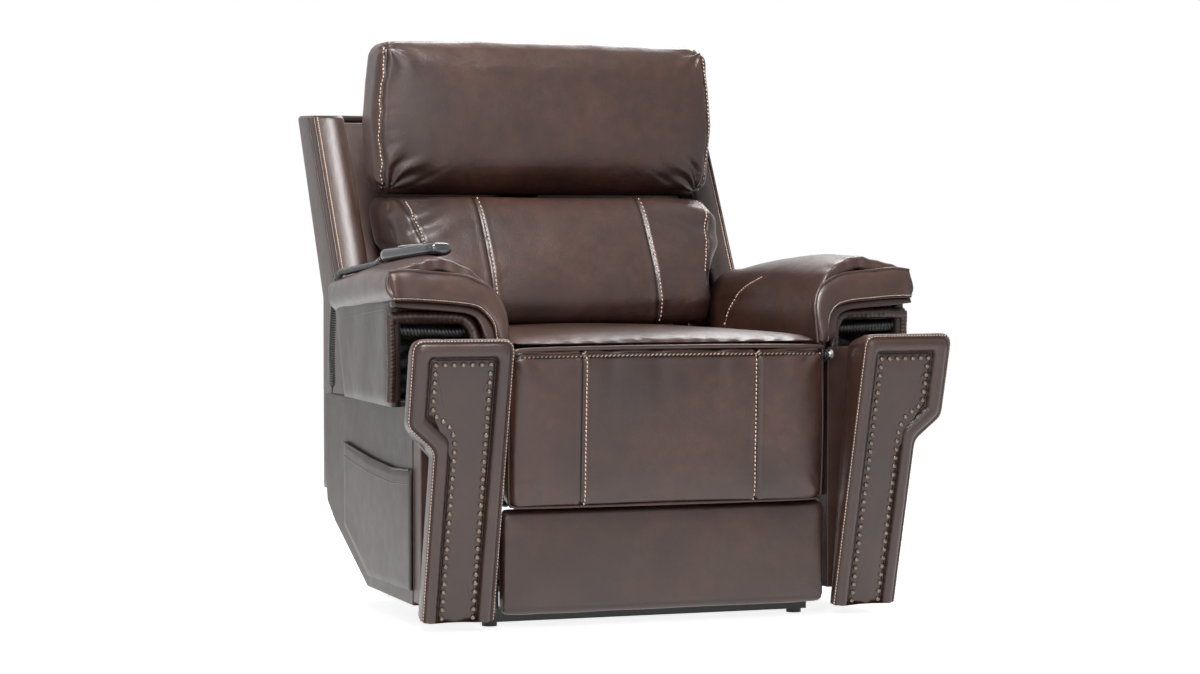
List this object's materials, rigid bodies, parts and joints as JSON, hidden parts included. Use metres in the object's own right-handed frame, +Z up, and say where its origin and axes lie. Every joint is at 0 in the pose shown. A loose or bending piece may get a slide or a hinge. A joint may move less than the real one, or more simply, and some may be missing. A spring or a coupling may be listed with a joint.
{
  "type": "lift recliner chair",
  "caption": "Leather power lift recliner with leaning nailed front posts, wrapped arm pads, a standing headrest, a chaise footrest and a handset on a curly cord.",
  "frame": {"origin": "on the floor, under the middle of the chair's box", "axes": "+Z up, +Y to the rear, +X to the right seen from the front"},
  "size_m": [0.98, 0.9785, 1.018],
  "materials": {
    "leather": "semi-gloss chocolate leather with fine grain",
    "black_steel": "satin powder coat",
    "plated_steel": "zinc plated",
    "black_plastic": "moulded, matt",
    "gloss_plastic": "glossy black",
    "keys": "soft touch",
    "cord": "satin",
    "hardwood": "bare plywood",
    "nails": "antiqued",
    "lining": "dark lining cloth"
  },
  "bodies": {
    "floor_base": {"base_rail_left": "black_steel", "base_rail_right": "black_steel", "base_front_bar": "black_steel", "base_rear_bar": "black_steel", "floor_glides": "black_plastic", "base_lugs": "black_steel", "lift_motor": "black_plastic", "power_box": "black_plastic"},
    "lift_arms": {"lift_arm_left": "black_steel", "lift_arm_right": "black_steel", "lift_cross_tube": "black_steel"},
    "front_links": {"front_link_left": "black_steel", "front_link_right": "black_steel"},
    "lift_rod": {"lift_rod": "plated_steel"},
    "recline_rod": {"recline_rod": "plated_steel"},
    "back": {"back_brackets": "black_steel", "back_frame": "hardwood", "inner_back_panel": "leather", "wing_left": "leather", "wing_right": "leather", "outer_back_panel": "leather", "back_cushion": "leather", "headrest_motor": "black_plastic"},
    "headrest": {"headrest_plate": "black_steel", "headrest_cushion": "leather"},
    "footrest": {"footrest_board": "hardwood", "chaise_pad": "leather"},
    "ottoman": {"ottoman_panel": "leather", "ottoman_slides": "black_steel"},
    "upper_links": {"footrest_upper_links": "black_steel"},
    "lower_links": {"footrest_lower_links": "black_steel"},
    "key_one": {"key_one": "keys"},
    "key_two": {"key_two": "keys"},
    "key_three": {"key_three": "keys"},
    "key_four": {"key_four": "keys"},
    "chair": {"mech_plate_left": "black_steel", "mech_plate_right": "black_steel", "mech_pins": "plated_steel", "front_cross_rail": "hardwood", "rear_cross_rail": "hardwood", "seat_springs": "plated_steel", "seat_cushion": "leather", "recline_motor": "black_plastic", "arm_front_boards": "leather", "side_panel_left": "leather", "side_panel_right": "leather", "arm_box_left": "leather", "arm_box_right": "leather", "arm_pad_left": "leather", "arm_pad_right": "leather", "recess_linings": "lining", "post_left": "leather", "post_right": "leather", "nail_heads": "nails", "side_pockets": "leather", "control_box": "black_plastic", "handset_base": "gloss_plastic", "handset_cover": "gloss_plastic", "handset_cord": "cord"}
  },
  "joints": [
    {"name": "lift", "type": "hinge", "parent": "floor_base", "child": "lift_arms", "pos_m": [0, -0.248, 0.07], "axis": [1, 0, 0], "range_deg": [0, 42]},
    {"name": "chair_tilt", "type": "hinge", "parent": "lift_arms", "child": "chair", "pos_m": [0, 0.122, 0.15], "axis": [1, 0, 0], "range_deg": [-16, 0]},
    {"name": "front_link_swing", "type": "hinge", "parent": "floor_base", "child": "front_links", "pos_m": [0, -0.268, 0.091], "axis": [1, 0, 0], "range_deg": [0, 43.32]},
    {"name": "lift_stroke", "type": "slide", "parent": "floor_base", "child": "lift_rod", "axis": [0, -1, 0], "range_m": [0, 0.0646]},
    {"name": "recline", "type": "hinge", "parent": "chair", "child": "back", "pos_m": [0, 0.122, 0.33], "axis": [-1, 0, 0], "range_deg": [0, 38]},
    {"name": "recline_stroke", "type": "slide", "parent": "chair", "child": "recline_rod", "axis": [0, -1, 0], "range_m": [0, 0.0522]},
    {"name": "headrest_tilt", "type": "hinge", "parent": "back", "child": "headrest", "pos_m": [0, 0.312, 0.757], "axis": [-1, 0, 0], "range_deg": [0, 20]},
    {"name": "footrest", "type": "hinge", "parent": "chair", "child": "footrest", "pos_m": [0, -0.386, 0.458], "axis": [-1, 0, 0], "range_deg": [0, 82]},
    {"name": "ottoman_extension", "type": "slide", "parent": "footrest", "child": "ottoman", "axis": [0, 0, -1], "range_m": [0, 0.03]},
    {"name": "upper_link_swing", "type": "hinge", "parent": "chair", "child": "upper_links", "pos_m": [0, -0.256, 0.318], "axis": [-1, 0, 0], "range_deg": [0, 82]},
    {"name": "lower_link_swing", "type": "hinge", "parent": "footrest", "child": "lower_links", "pos_m": [0, -0.31, 0.342], "axis": [1, 0, 0], "range_deg": [0, 82]},
    {"name": "press_one", "type": "slide", "parent": "chair", "child": "key_one", "axis": [0.014, -0.054, -0.9984], "range_m": [0, 0.001], "stiffness_N_per_m": 400},
    {"name": "press_two", "type": "slide", "parent": "chair", "child": "key_two", "axis": [0.014, -0.054, -0.9984], "range_m": [0, 0.001], "stiffness_N_per_m": 400},
    {"name": "press_three", "type": "slide", "parent": "chair", "child": "key_three", "axis": [0.014, -0.054, -0.9984], "range_m": [0, 0.001], "stiffness_N_per_m": 400},
    {"name": "press_four", "type": "slide", "parent": "chair", "child": "key_four", "axis": [0.014, -0.054, -0.9984], "range_m": [0, 0.001], "stiffness_N_per_m": 400}
  ],
  "couplings": [
    {"joint": "chair_tilt", "follows": "lift", "ratio": -0.38095},
    {"joint": "front_link_swing", "follows": "lift", "ratio": 1.0314},
    {"joint": "lift_stroke", "follows": "lift", "m_per_rad": 0.08799},
    {"joint": "recline_stroke", "follows": "recline", "m_per_rad": 0.078556},
    {"joint": "ottoman_extension", "follows": "footrest", "m_per_rad": 0.020941},
    {"joint": "upper_link_swing", "follows": "footrest", "ratio": 1},
    {"joint": "lower_link_swing", "follows": "footrest", "ratio": 1}
  ]
}
